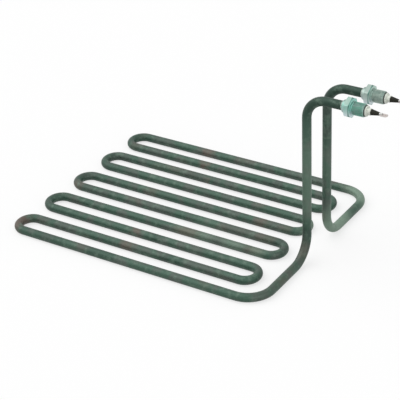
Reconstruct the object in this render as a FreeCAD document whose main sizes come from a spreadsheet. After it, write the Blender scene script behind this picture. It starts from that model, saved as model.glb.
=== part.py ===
import FreeCAD, Part
import math
import os
import Sketcher

# Driving sizes in millimetres, one row each in the sheet
SIZES = {
    # the sheath tube and its bed of parallel runs
    "tube_diameter": 8.5,
    "tube_wall": 0.8,
    "run_pitch": 24.3,
    "run_length": 226.5,
    "cross_run_offset": 35.0,
    "bed_corner_radius": 24.0,
    # the two risers and their bends
    "foot_radius": 24.0,
    "top_bend_radius": 19.5,
    "riser_spacing": 38.5,
    "front_terminal_height": 162.5,
    "rear_terminal_drop": 4.5,
    # the threaded gland at each end
    "gland_reach": 36.0,
    "collar_diameter": 11.4,
    "collar_length": 3.5,
    "collar_chamfer": 0.5,
    "across_flats": 17.0,
    "flats_length": 5.5,
    "relief_diameter": 10.4,
    "relief_length": 1.2,
    "undercut_depth": 0.3,
    "seat_bore_diameter": 12.6,
    "thread_diameter": 12.0,
    "thread_length": 10.8,
    "thread_chamfer": 0.8,
    "braze_leg": 1.0,
    # what closes each end of the tube
    "sheath_recess": 1.0,
    "plug_depth": 6.0,
    "seal_disc_diameter": 10.4,
    "seal_disc_length": 0.8,
    "flange_diameter": 9.6,
    "flange_length": 1.3,
    "nose_diameter": 6.2,
    "nose_length": 3.3,
    "ceramic_edge": 0.4,
    "pin_clearance": 0.1,
    "boot_root_diameter": 5.6,
    "boot_tip_diameter": 3.0,
    "boot_length": 7.6,
    # the conductor inside
    "pin_diameter": 2.5,
    "pin_drop": 70.0,
    "wire_diameter": 0.4,
    "pin_grip": 8.0,
    # the spade tab welded to each pin
    "tab_width": 4.8,
    "tab_thickness": 0.8,
    "tab_gap": 0.3,
    "tab_length": 7.3,
    "tab_corner": 1.0,
    "tab_hole_diameter": 1.6,
    "tab_hole_inset": 2.8,
    "weld_length": 2.4,
}

RUN_COUNT = 10
SHORTEST_RUN = 0.001
SAME_PLACE = 0.001

# The hexagon's turned faces, as shares of its width across flats
FACE_CIRCLE_SHARE = 0.48
BEYOND_CORNERS_SHARE = 0.6
HEXAGON_CHAMFER_DEG = 30

doc = FreeCAD.newDocument("fryer_heating_element")
sheet = doc.addObject("Spreadsheet::Sheet", "sizes")


class Size:
    """A length, kept both as a number and as the sheet expression that gives it."""

    def __init__(self, number, text):
        self.number = number
        self.text = text

    def __add__(self, other):
        return Size(self.number + other.number, f"({self.text} + {other.text})")

    def __sub__(self, other):
        return Size(self.number - other.number, f"({self.text} - {other.text})")

    def __neg__(self):
        return Size(-self.number, f"(-1 * {self.text})")

    def __mul__(self, factor):
        return Size(self.number * factor, f"({self.text} * {factor})")

    def __truediv__(self, factor):
        return Size(self.number / factor, f"({self.text} / {factor})")


class Sizes:
    """Every row of the sheet by its alias."""

    def __init__(self, rows):
        for row, (alias, number) in enumerate(rows.items(), start=1):
            sheet.set(f"A{row}", alias)
            sheet.set(f"B{row}", str(number))
            sheet.setAlias(f"B{row}", alias)
            setattr(self, alias, Size(number, f"{sheet.Name}.{alias}"))


s = Sizes(SIZES)
doc.recompute()
ZERO = Size(0.0, "0")

# Places that several pieces share
tube_radius = s.tube_diameter / 2
bore_radius = tube_radius - s.tube_wall
pin_radius = s.pin_diameter / 2
coil_radius = pin_radius + s.wire_diameter

gland_length = s.collar_length + s.flats_length + s.relief_length + s.thread_length
sheath_end = s.gland_reach + gland_length - s.sheath_recess
filling_end = sheath_end - s.plug_depth
disc_end = s.gland_reach + gland_length + s.seal_disc_length
ceramic_end = disc_end + s.flange_length + s.nose_length
boot_end = ceramic_end + s.boot_length
tab_start = boot_end + s.tab_gap
terminal_reach = tab_start + s.tab_length

bed_half_width = s.run_pitch * ((RUN_COUNT - 1) / 2)
overall_length = (tube_radius + s.run_pitch / 2 + s.run_length
                  + s.cross_run_offset + terminal_reach)
riser_x = overall_length / 2 - terminal_reach
right_bend_x = riser_x - s.cross_run_offset
left_bend_x = right_bend_x - s.run_length
bed_z = tube_radius


class Terminal:
    """One end of the element: its name, the side it stands on and its height."""

    def __init__(self, name, riser_y, axis_z):
        self.name = name
        self.riser_y = riser_y
        self.axis_z = axis_z

    def at(self, reach):
        """Point on the terminal's axis, measured out from the riser's own axis."""
        return FreeCAD.Vector((riser_x + reach).number, self.riser_y.number, self.axis_z.number)

    def top_corner(self):
        """Where the riser's axis meets the terminal's axis."""
        return self.at(ZERO)

    def on_riser(self, drop):
        """Point on the riser's axis, measured down from the terminal's axis."""
        return self.top_corner() - FreeCAD.Vector(0, 0, drop.number)

    def foot_corner(self):
        """Where the riser's axis meets the bed."""
        return FreeCAD.Vector(riser_x.number, self.riser_y.number, bed_z.number)


front = Terminal("front", -(s.riser_spacing / 2), bed_z + s.front_terminal_height)
rear = Terminal("rear", s.riser_spacing / 2,
                bed_z + s.front_terminal_height - s.rear_terminal_drop)


def bind(thing, values):
    """Tie properties of an object to the sheet."""
    for name, size in values.items():
        thing.setExpression(name, size.text)


def place(thing, terminal, reach):
    """Put a piece on its terminal's axis, at a reach from the riser."""
    bind(thing, {
        "Placement.Base.x": riser_x + reach,
        "Placement.Base.y": terminal.riser_y,
        "Placement.Base.z": terminal.axis_z,
    })


# The centreline: straight runs through corners, joined by tangent arcs

def rounded_wire(corners, radii):
    """Wire through the corners, each rounded to its radius."""
    edges = []
    start = corners[0]
    for before, corner, after, radius in zip(corners, corners[1:], corners[2:], radii):
        back = (before - corner).normalize()
        ahead = (after - corner).normalize()
        half_turn = (math.pi - back.getAngle(ahead)) / 2
        setback = radius * math.tan(half_turn)
        depth = radius / math.cos(half_turn) - radius
        entry = corner + back * setback
        leave = corner + ahead * setback
        middle = corner + (back + ahead).normalize() * depth
        if start.distanceToPoint(entry) > SHORTEST_RUN:
            edges.append(Part.LineSegment(start, entry).toShape())
        edges.append(Part.Arc(entry, middle, leave).toShape())
        start = leave
    edges.append(Part.LineSegment(start, corners[-1]).toShape())
    return Part.Wire(edges)


def bed_corners():
    """Corners of the bed from the front foot to the rear foot, with their radii."""
    bend = s.run_pitch.number / 2
    corners = [front.foot_corner()]
    radii = [s.foot_radius.number]

    def turn(x, y, radius):
        corners.append(FreeCAD.Vector(x, y, bed_z.number))
        radii.append(radius)

    for run in range(RUN_COUNT):
        y = run * s.run_pitch.number - bed_half_width.number
        left = left_bend_x.number - bend
        right = right_bend_x.number + bend
        ends = [(right, bend), (left, bend)]
        if run in (0, RUN_COUNT - 1):
            ends[0] = (riser_x.number, s.bed_corner_radius.number)
        if run % 2 == 1:
            ends.reverse()
        for x, radius in ends:
            turn(x, y, radius)
    corners.append(rear.foot_corner())
    radii.append(s.foot_radius.number)
    return corners, radii


def add_path(name, corners, radii):
    """Keep a centreline in the document."""
    path = doc.addObject("Part::Feature", name)
    path.Shape = rounded_wire(corners, radii)
    return path


def add_sweep(name, path, radius):
    """Solid round rod along a centreline."""
    section = doc.addObject("Part::Circle", name + "_section")
    bind(section, {"Radius": radius})
    first = path.Shape.OrderedEdges[0]
    ahead = first.tangentAt(first.FirstParameter)
    section.Placement = FreeCAD.Placement(
        first.valueAt(first.FirstParameter),
        FreeCAD.Rotation(FreeCAD.Vector(0, 0, 1), ahead))
    sweep = doc.addObject("Part::Sweep", name)
    sweep.Sections = [section]
    sweep.Spine = (path, [f"Edge{number + 1}" for number in range(len(path.Shape.Edges))])
    sweep.Solid = True
    sweep.Frenet = False
    return sweep


def add_cut(label, base, tool):
    """One solid less another."""
    cut = doc.addObject("Part::Cut", label)
    cut.Base = base
    cut.Tool = tool
    return cut


def path_between_terminals(name, front_reach, rear_reach):
    """Centreline of the whole tube, out to a reach on each terminal's axis."""
    corners, radii = bed_corners()
    bend = s.top_bend_radius.number
    corners = ([front.at(front_reach), front.top_corner()] + corners
               + [rear.top_corner(), rear.at(rear_reach)])
    return add_path(name, corners, [bend] + radii + [bend])


def path_between_pins(name, drop):
    """Centreline from riser to riser through the bed, from a drop below each terminal."""
    corners, radii = bed_corners()
    corners = [front.on_riser(drop)] + corners + [rear.on_riser(drop)]
    return add_path(name, corners, radii)


def pin_path(terminal):
    """Centreline of one terminal pin, from its outer tip down into the riser."""
    corners = [terminal.at(tab_start + s.weld_length), terminal.top_corner(),
               terminal.on_riser(s.pin_drop)]
    return add_path(f"{terminal.name}_pin_path", corners, [s.top_bend_radius.number])


# The long bent pieces

def add_sheath():
    """Bent tube, open at both ends."""
    path = path_between_terminals("sheath_path", sheath_end, sheath_end)
    outside = add_sweep("sheath_outside", path, tube_radius)
    inside = add_sweep("sheath_inside", path, bore_radius)
    return add_cut("sheath_tube", outside, inside)


def add_coil():
    """Resistance winding as the tube that its turns fill, over the end of each pin."""
    path = path_between_pins("coil_path", s.pin_drop - s.pin_grip)
    outside = add_sweep("coil_outside", path, coil_radius)
    inside = add_sweep("coil_inside", path, pin_radius)
    return add_cut("resistance_coil", outside, inside)


def add_pin(terminal):
    """Round pin, flattened underneath where the tab is welded."""
    rod = add_sweep(f"{terminal.name}_pin_rod", pin_path(terminal), pin_radius)
    flat = doc.addObject("Part::Box", f"{terminal.name}_pin_flat")
    bind(flat, {
        "Length": s.weld_length * 2,
        "Width": s.pin_diameter * 2,
        "Height": s.pin_diameter,
        "Placement.Base.x": riser_x + tab_start,
        "Placement.Base.y": terminal.riser_y - s.pin_diameter,
        "Placement.Base.z": terminal.axis_z - s.pin_diameter,
    })
    return add_cut(f"{terminal.name}_terminal_pin", rod, flat)


def add_filling(coil, pins):
    """Compacted powder that fills the tube round the coil and the pins."""
    path = path_between_terminals("filling_path", filling_end, filling_end)
    powder = add_sweep("filling_powder", path, bore_radius)
    held = doc.addObject("Part::MultiFuse", "filling_hollow")
    held.Shapes = [coil] + pins
    return add_cut("insulation_filling", powder, held)


# The turned and stamped pieces of a terminal

def plane(body, role):
    """Origin plane of a body."""
    return next(item for item in body.Origin.OriginFeatures if item.Role == role)


def new_body(label):
    """Empty body that carries its own name."""
    body = doc.addObject("PartDesign::Body", label)
    body.Label = label
    return body


def add_sketch(body, name, role):
    """Sketch on one of the body's own planes."""
    sketch = body.newObject("Sketcher::SketchObject", name)
    sketch.AttachmentSupport = (plane(body, role), [""])
    sketch.MapMode = "FlatFace"
    return sketch


def draw_outline(sketch, points):
    """Closed outline of straight sides, every corner tied to the sheet."""
    first = sketch.GeometryCount
    for (x, y), (next_x, next_y) in zip(points, points[1:] + points[:1]):
        start = FreeCAD.Vector(x.number, y.number, 0)
        end = FreeCAD.Vector(next_x.number, next_y.number, 0)
        sketch.addGeometry(Part.LineSegment(start, end), False)
    for index, (x, y) in enumerate(points):
        side = first + index
        following = first + (index + 1) % len(points)
        sketch.addConstraint(Sketcher.Constraint("Coincident", side, 2, following, 1))
        for kind, size in (("DistanceX", x), ("DistanceY", y)):
            number = sketch.addConstraint(Sketcher.Constraint(kind, -1, 1, side, 1, size.number))
            sketch.setExpression(f"Constraints[{number}]", size.text)


def turn_round(body, name, points):
    """Solid turned about the body's X axis from a half outline."""
    sketch = add_sketch(body, name + "_outline", "XY_Plane")
    draw_outline(sketch, points)
    turned = body.newObject("PartDesign::Revolution", name)
    turned.Profile = sketch
    turned.ReferenceAxis = (sketch, ["H_Axis"])
    turned.Angle = 360
    return turned


def add_ring(sketch, x, y, radius):
    """Circle in a sketch, its centre and radius tied to the sheet."""
    centre = FreeCAD.Vector(x.number, y.number, 0)
    ring = sketch.addGeometry(
        Part.Circle(centre, FreeCAD.Vector(0, 0, 1), radius.number), False)
    for kind, size in (("DistanceX", x), ("DistanceY", y)):
        number = sketch.addConstraint(Sketcher.Constraint(kind, -1, 1, ring, 3, size.number))
        sketch.setExpression(f"Constraints[{number}]", size.text)
    number = sketch.addConstraint(Sketcher.Constraint("Radius", ring, radius.number))
    sketch.setExpression(f"Constraints[{number}]", radius.text)


def round_edges(body, name, base, rounding, places):
    """Round the circular edges that lie at the given places along and off the X axis."""
    doc.recompute()
    chosen = []
    for index, edge in enumerate(base.Shape.Edges, start=1):
        if not isinstance(edge.Curve, Part.Circle):
            continue
        for along, radius in places:
            near_along = abs(edge.Curve.Center.x - along.number) < SAME_PLACE
            near_radius = abs(edge.Curve.Radius - radius.number) < SAME_PLACE
            if near_along and near_radius:
                chosen.append(f"Edge{index}")
    fillet = body.newObject("PartDesign::Fillet", name)
    fillet.Base = (base, chosen)
    bind(fillet, {"Radius": rounding})
    return fillet


def add_gland(terminal):
    """Threaded gland turned from hexagon bar, with its collar towards the riser."""
    body = new_body(f"{terminal.name}_gland")
    shoulder = s.collar_length + s.flats_length
    relief_end = shoulder + s.relief_length
    collar = s.collar_diameter / 2
    relief = s.relief_diameter / 2
    thread = s.thread_diameter / 2
    turn_round(body, f"{terminal.name}_gland_turned", [
        (ZERO, tube_radius),
        (ZERO, collar - s.collar_chamfer),
        (s.collar_chamfer, collar),
        (shoulder, collar),
        (shoulder, relief),
        (relief_end, relief),
        (relief_end, thread),
        (gland_length - s.thread_chamfer, thread),
        (gland_length, thread - s.thread_chamfer),
        (gland_length, tube_radius),
    ])
    sketch = add_sketch(body, f"{terminal.name}_hexagon", "YZ_Plane")
    bind(sketch, {"AttachmentOffset.Base.z": s.collar_length})
    corner_share = 0.5 / math.cos(math.pi / 6)
    corners = []
    for number in range(6):
        angle = math.pi / 2 + number * math.pi / 3
        corners.append((s.across_flats * round(corner_share * math.cos(angle), 9),
                        s.across_flats * round(corner_share * math.sin(angle), 9)))
    draw_outline(sketch, corners)
    add_ring(sketch, ZERO, ZERO, tube_radius)
    flats = body.newObject("PartDesign::Pad", f"{terminal.name}_flats")
    flats.Profile = sketch
    bind(flats, {"Length": s.flats_length})
    turn_hexagon_faces(body, terminal, shoulder)
    place(body, terminal, s.gland_reach)
    return body


def turn_hexagon_faces(body, terminal, shoulder):
    """Turn both faces down to a circle inside the flats and undercut the seat round the thread."""
    face_circle = s.across_flats * FACE_CIRCLE_SHARE
    beyond = s.across_flats * BEYOND_CORNERS_SHARE
    slope = (beyond - face_circle) * round(math.tan(math.radians(HEXAGON_CHAMFER_DEG)), 6)
    sketch = add_sketch(body, f"{terminal.name}_hexagon_faces", "XY_Plane")
    draw_outline(sketch, [
        (s.collar_length, face_circle),
        (s.collar_length + slope, beyond),
        (s.collar_length, beyond),
    ])
    draw_outline(sketch, [
        (shoulder, face_circle),
        (shoulder, beyond),
        (shoulder - slope, beyond),
    ])
    draw_outline(sketch, [
        (shoulder - s.undercut_depth, s.relief_diameter / 2),
        (shoulder, s.relief_diameter / 2),
        (shoulder, s.seat_bore_diameter / 2),
        (shoulder - s.undercut_depth, s.seat_bore_diameter / 2),
    ])
    groove = body.newObject("PartDesign::Groove", f"{terminal.name}_hexagon_turned")
    groove.Profile = sketch
    groove.ReferenceAxis = (sketch, ["H_Axis"])
    groove.Angle = 360


def add_braze_fillet(terminal):
    """Hollow fillet of braze between the sheath and the gland's collar."""
    body = new_body(f"{terminal.name}_braze_fillet")
    sketch = add_sketch(body, f"{terminal.name}_braze_outline", "XY_Plane")
    leg = s.braze_leg
    foot = tube_radius
    back = FreeCAD.Vector(0, foot.number, 0)
    inner = FreeCAD.Vector(leg.number, foot.number, 0)
    outer = FreeCAD.Vector(leg.number, (foot + leg).number, 0)
    centre = FreeCAD.Vector(0, (foot + leg).number, 0)
    hollow = Part.Circle(centre, FreeCAD.Vector(0, 0, 1), leg.number)
    sketch.addGeometry(Part.LineSegment(back, inner), False)
    sketch.addGeometry(Part.LineSegment(inner, outer), False)
    sketch.addGeometry(Part.ArcOfCircle(hollow, -math.pi / 2, 0), False)
    sketch.addConstraint(Sketcher.Constraint("Coincident", 0, 2, 1, 1))
    sketch.addConstraint(Sketcher.Constraint("Coincident", 1, 2, 2, 2))
    sketch.addConstraint(Sketcher.Constraint("Coincident", 2, 1, 0, 1))
    sketch.addConstraint(Sketcher.Constraint("Horizontal", 0))
    sketch.addConstraint(Sketcher.Constraint("Vertical", 1))
    sketch.addConstraint(Sketcher.Constraint("PointOnObject", 0, 1, -2))
    sketch.addConstraint(Sketcher.Constraint("PointOnObject", 2, 3, -2))
    for kind, end, size in (("DistanceX", (0, 2), leg), ("DistanceY", (0, 1), foot),
                            ("DistanceY", (1, 2), foot + leg)):
        number = sketch.addConstraint(Sketcher.Constraint(kind, -1, 1, *end, size.number))
        sketch.setExpression(f"Constraints[{number}]", size.text)
    turned = body.newObject("PartDesign::Revolution", f"{terminal.name}_braze_turned")
    turned.Profile = sketch
    turned.ReferenceAxis = (sketch, ["H_Axis"])
    turned.Angle = 360
    place(body, terminal, s.gland_reach - leg)
    return body


def add_end_seal(terminal):
    """Silicone seal: a plug inside the sheath and a disc over the gland's end."""
    body = new_body(f"{terminal.name}_end_seal")
    mouth = s.plug_depth + s.sheath_recess
    disc = s.seal_disc_diameter / 2
    turn_round(body, f"{terminal.name}_seal_turned", [
        (ZERO, pin_radius),
        (ZERO, bore_radius),
        (s.plug_depth, bore_radius),
        (s.plug_depth, tube_radius),
        (mouth, tube_radius),
        (mouth, disc),
        (mouth + s.seal_disc_length, disc),
        (mouth + s.seal_disc_length, pin_radius),
    ])
    place(body, terminal, filling_end)
    return body


def add_ceramic_bushing(terminal):
    """Flanged steatite bushing round the pin."""
    body = new_body(f"{terminal.name}_ceramic_bushing")
    bore = pin_radius + s.pin_clearance
    flange = s.flange_diameter / 2
    nose = s.nose_diameter / 2
    length = s.flange_length + s.nose_length
    turned = turn_round(body, f"{terminal.name}_ceramic_turned", [
        (ZERO, bore),
        (ZERO, flange),
        (s.flange_length, flange),
        (s.flange_length, nose),
        (length, nose),
        (length, bore),
    ])
    round_edges(body, f"{terminal.name}_ceramic_rounded", turned, s.ceramic_edge,
                [(ZERO, flange), (s.flange_length, flange), (length, nose)])
    place(body, terminal, disc_end)
    return body


def add_pin_boot(terminal):
    """Dark tapered boot pushed along the pin against the bushing."""
    body = new_body(f"{terminal.name}_pin_boot")
    turn_round(body, f"{terminal.name}_boot_turned", [
        (ZERO, pin_radius),
        (ZERO, s.boot_root_diameter / 2),
        (s.boot_length, s.boot_tip_diameter / 2),
        (s.boot_length, pin_radius),
    ])
    place(body, terminal, ceramic_end)
    return body


def add_spade_tab(terminal):
    """Flat spade tab, level, welded by its root to the flat under the pin."""
    body = new_body(f"{terminal.name}_spade_tab")
    sketch = add_sketch(body, f"{terminal.name}_tab_outline", "XY_Plane")
    half = s.tab_width / 2
    shoulder = s.tab_corner
    draw_outline(sketch, [
        (ZERO, shoulder - half),
        (shoulder, -half),
        (s.tab_length - shoulder, -half),
        (s.tab_length, shoulder - half),
        (s.tab_length, half - shoulder),
        (s.tab_length - shoulder, half),
        (shoulder, half),
        (ZERO, half - shoulder),
    ])
    add_ring(sketch, s.tab_length - s.tab_hole_inset, ZERO, s.tab_hole_diameter / 2)
    blade = body.newObject("PartDesign::Pad", f"{terminal.name}_tab_blade")
    blade.Profile = sketch
    blade.Reversed = True
    bind(blade, {"Length": s.tab_thickness})
    place(body, terminal, tab_start)
    return body


def add_terminal(terminal, pin):
    """Every piece of one end, in the order they go on."""
    return [
        add_braze_fillet(terminal),
        add_gland(terminal),
        add_end_seal(terminal),
        add_ceramic_bushing(terminal),
        add_pin_boot(terminal),
        pin,
        add_spade_tab(terminal),
    ]


def check(parts):
    """Stop unless every object was built and every part is a sound solid."""
    for thing in doc.Objects:
        broken = {"Invalid", "Error"} & set(thing.State)
        if broken:
            raise RuntimeError(f"{thing.Name} is {broken}")
    for part in parts:
        if part.Shape.isNull() or not part.Shape.isValid() or not part.Shape.Solids:
            raise RuntimeError(f"{part.Label} is not a sound solid")


coil = add_coil()
pins = {terminal.name: add_pin(terminal) for terminal in (front, rear)}
parts = [add_sheath(), add_filling(coil, list(pins.values())), coil]
for terminal in (front, rear):
    parts += add_terminal(terminal, pins[terminal.name])
doc.recompute()
check(parts)

os.makedirs("parts", exist_ok=True)
for part in parts:
    part.Shape.exportStep(f"parts/{part.Label}.step")
    print(part.Label, round(part.Shape.Volume, 1))
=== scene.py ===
import logging
import math
from abc import ABC, abstractmethod
from contextlib import contextmanager
from dataclasses import dataclass
from enum import Enum
from typing import Any, Callable, Iterator, Sequence

import bmesh
import bpy
from mathutils import Matrix, Vector


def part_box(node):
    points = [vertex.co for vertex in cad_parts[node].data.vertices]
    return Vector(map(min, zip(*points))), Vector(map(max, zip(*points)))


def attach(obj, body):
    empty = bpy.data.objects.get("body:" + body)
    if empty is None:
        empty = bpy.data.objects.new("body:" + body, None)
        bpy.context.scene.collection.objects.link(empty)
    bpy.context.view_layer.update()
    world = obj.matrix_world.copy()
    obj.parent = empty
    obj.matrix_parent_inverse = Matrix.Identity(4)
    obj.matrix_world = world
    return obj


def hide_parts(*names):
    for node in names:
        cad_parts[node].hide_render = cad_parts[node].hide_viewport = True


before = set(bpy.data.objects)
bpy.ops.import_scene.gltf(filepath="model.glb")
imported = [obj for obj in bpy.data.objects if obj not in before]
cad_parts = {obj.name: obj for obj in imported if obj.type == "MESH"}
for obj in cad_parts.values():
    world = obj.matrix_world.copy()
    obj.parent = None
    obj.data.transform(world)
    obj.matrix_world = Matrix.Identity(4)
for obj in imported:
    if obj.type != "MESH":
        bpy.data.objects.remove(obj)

log = logging.getLogger("fryer_heating_element")

ALONG = Vector((1.0, 0.0, 0.0))
ACROSS = Vector((0.0, 1.0, 0.0))
UP = Vector((0.0, 0.0, 1.0))
QUARTER_TURN = math.pi / 2
LYING = (0.0, QUARTER_TURN, 0.0)
WHITE = (1.0, 1.0, 1.0, 1.0)

TUBE_RADIUS = 0.00425
PIN_RADIUS = 0.00125

Point = tuple[float, float]
Band = tuple[float, float]
Colour = tuple[float, float, float]


# Shader graphs


class Detail(Enum):
    """How many finer layers a noise has."""

    SOFT = 1.0
    EVEN = 2.0
    BROKEN = 3.0
    ROUGH = 4.0


class Value:
    """A socket that takes part in Python arithmetic: each operation adds its Math node."""

    def __init__(self, graph: "Graph", socket: bpy.types.NodeSocket) -> None:
        """Wrap an output socket of a graph."""
        self.graph = graph
        self.socket = socket

    def _math(self, operation: str, *operands: "Value | float") -> "Value":
        """Result of a new Math node, with the operands in the order of its sockets."""
        return self.graph.add("ShaderNodeMath", {"operation": operation}, dict(enumerate(operands)))

    def __add__(self, other: "Value | float") -> "Value":
        """Sum."""
        return self._math("ADD", self, other)

    def __radd__(self, other: float) -> "Value":
        """Sum with a number on the left."""
        return self._math("ADD", other, self)

    def __sub__(self, other: "Value | float") -> "Value":
        """Difference."""
        return self._math("SUBTRACT", self, other)

    def __rsub__(self, other: float) -> "Value":
        """Difference from a number on the left."""
        return self._math("SUBTRACT", other, self)

    def __mul__(self, other: "Value | float") -> "Value":
        """Product."""
        return self._math("MULTIPLY", self, other)

    def __rmul__(self, other: float) -> "Value":
        """Product with a number on the left."""
        return self._math("MULTIPLY", other, self)

    def root(self) -> "Value":
        """Square root."""
        return self._math("SQRT", self)

    def either(self, other: "Value | float") -> "Value":
        """The larger of two values."""
        return self._math("MAXIMUM", self, other)

    def rise(self, low: float, high: float) -> "Value":
        """Smooth rise from 0 at the low level to 1 at the high one."""
        return self.graph.add("ShaderNodeMapRange", {"interpolation_type": "SMOOTHSTEP"},
                              {"Value": self, "From Min": low, "From Max": high})


class Graph:
    """A node graph that is built by expressions, for a material or for the world."""

    def __init__(self, tree: bpy.types.NodeTree) -> None:
        """Empty the node tree of a material or of the world and start on it."""
        self.tree = tree
        self.tree.nodes.clear()

    def node(self, kind: str, settings: dict[str, Any], sockets: dict[Any, Any]) -> bpy.types.Node:
        """Add a node.

        Args:
            kind: The node's type.
            settings: The node's own properties, set first.
            sockets: Values or links of its inputs, by number, identifier or name.

        Returns:
            The node.
        """
        node = self.tree.nodes.new(kind)
        for name, setting in settings.items():
            setattr(node, name, setting)
        for key, given in sockets.items():
            socket = self._input(node, key)
            if isinstance(given, Value):
                self.tree.links.new(given.socket, socket)
            else:
                socket.default_value = given
        return node

    def add(self, kind: str, settings: dict[str, Any], sockets: dict[Any, Any],
            result: int | str = 0) -> Value:
        """Add a node and take one of its outputs, by name or number."""
        return Value(self, self.node(kind, settings, sockets).outputs[result])

    @staticmethod
    def _input(node: bpy.types.Node, key: int | str) -> bpy.types.NodeSocket:
        """Find an input socket by its number, identifier or name."""
        known = {socket.identifier: socket for socket in node.inputs}
        return known.get(key) or node.inputs[key]

    def seen(self) -> Value:
        """Tell the rays that look at the background straight, in a reflection or through glass.

        Returns:
            1 for these rays and 0 for the light that the background gives.
        """
        rays = self.node("ShaderNodeLightPath", {}, {}).outputs
        straight, mirrored, through = (
            Value(self, rays[name])
            for name in ("Is Camera Ray", "Is Glossy Ray", "Is Transmission Ray"))
        return straight.either(mirrored).either(through)

    def mix(self, share: Value | float, first: Value | Colour, second: Value | Colour) -> Value:
        """Blend two colours.

        Args:
            share: Share of the second colour.
            first: Colour where the share is 0.
            second: Colour where the share is 1.

        Returns:
            The blended colour.
        """
        ends = [end if isinstance(end, Value) else (*end, 1.0) for end in (first, second)]
        return self.add("ShaderNodeMix", {"data_type": "RGBA"},
                        {"Factor_Float": share, "A_Color": ends[0], "B_Color": ends[1]}, 2)


class Pattern(Graph):
    """The graph of one material, with object coordinates centred where its piece needs them."""

    def __init__(self, name: str, centre: Vector) -> None:
        """Start a material.

        Args:
            name: The material's name.
            centre: Point of the object's frame that the pattern is centred on.
        """
        self.material = bpy.data.materials.new(name)
        self.material.use_nodes = True
        super().__init__(self.material.node_tree)
        place = self.add("ShaderNodeTexCoord", {}, {}, "Object")
        self.place = self.add("ShaderNodeMapping", {"vector_type": "POINT"},
                              {"Vector": place, "Location": -centre})

    def axes(self) -> tuple[Value, Value, Value]:
        """The pattern's X, Y and Z, in metres."""
        split = self.node("ShaderNodeSeparateXYZ", {}, {"Vector": self.place}).outputs
        return Value(self, split[0]), Value(self, split[1]), Value(self, split[2])

    def vector(self, x: Value | float, y: Value | float, z: Value | float) -> Value:
        """Join three values into a vector."""
        return self.add("ShaderNodeCombineXYZ", {}, {"X": x, "Y": y, "Z": z})

    def noise(self, scale: float, detail: Detail = Detail.EVEN, vector: Value | None = None) -> Value:
        """Noise from 0 to 1, with so many features in a metre, on the pattern's or other places."""
        sockets = {"Vector": vector or self.place, "Scale": scale, "Detail": detail.value}
        return self.add("ShaderNodeTexNoise", {}, sockets)

    def pits(self, scale: float) -> Value:
        """Distance from the nearest of many scattered points, in cells of a metre over the scale."""
        return self.add("ShaderNodeTexVoronoi", {}, {"Vector": self.place, "Scale": scale})

    def rings(self, spacing: float) -> Value:
        """Uneven fine rings about the pattern's X axis, as a lathe leaves.

        Args:
            spacing: Metres from ring to ring.

        Returns:
            A height from 0 to 1.
        """
        x, y, z = self.axes()
        radius = (y * y + z * z).root()
        return self.noise(1.0 / spacing, Detail.SOFT, self.vector(x, radius, 0.0))

    def distance(self, place: Sequence[float]) -> Value:
        """Metres from a place of the pattern."""
        return self.add("ShaderNodeVectorMath", {"operation": "DISTANCE"},
                        {0: self.place, 1: place}, "Value")

    def streaks(self, width: float, stretch: Vector) -> Value:
        """Fine streaks, long in the directions where the stretch is small.

        Args:
            width: Metres from streak to streak.
            stretch: Factor of each coordinate.

        Returns:
            A height from 0 to 1.
        """
        drawn = self.add("ShaderNodeVectorMath", {"operation": "MULTIPLY"},
                         {0: self.place, 1: stretch})
        return self.noise(1.0 / width, Detail.EVEN, drawn)

    def coat(self, under: Value | Colour, coat: "Coat", value: Value) -> Value:
        """Lay a coat over a colour where a value is high."""
        return self.mix(value.rise(*coat.level) * coat.share, under, coat.colour)

    def bump(self, height: Value, depth: float) -> Value:
        """Normal of a surface whose height of 0 to 1 stands for a depth in metres."""
        return self.add("ShaderNodeBump", {}, {"Height": height, "Distance": depth})

    def finish(self, **sockets: Any) -> bpy.types.Material:
        """Close the graph with its shader.

        Args:
            sockets: The shader's inputs, with underscores for the spaces in their names.

        Returns:
            The material.
        """
        inputs = {name.replace("_", " "): given for name, given in sockets.items()}
        shader = self.add("ShaderNodeBsdfPrincipled", {}, inputs)
        self.node("ShaderNodeOutputMaterial", {}, {"Surface": shader})
        return self.material


# Finishes


class Finish(ABC):
    """How a surface looks."""

    @abstractmethod
    def material(self, name: str, centre: Vector) -> bpy.types.Material:
        """Make the material of one piece.

        Args:
            name: The material's name.
            centre: Point of the piece that the pattern is centred on.

        Returns:
            The material.
        """


@dataclass(frozen=True)
class Coat:
    """A colour that lies over another where some value is high."""

    colour: Colour
    level: Band
    share: float = 1.0


@dataclass(frozen=True)
class Spot:
    """A place where a surface has another colour."""

    place: tuple[float, float, float]
    reach: float
    strength: float = 0.8


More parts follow.
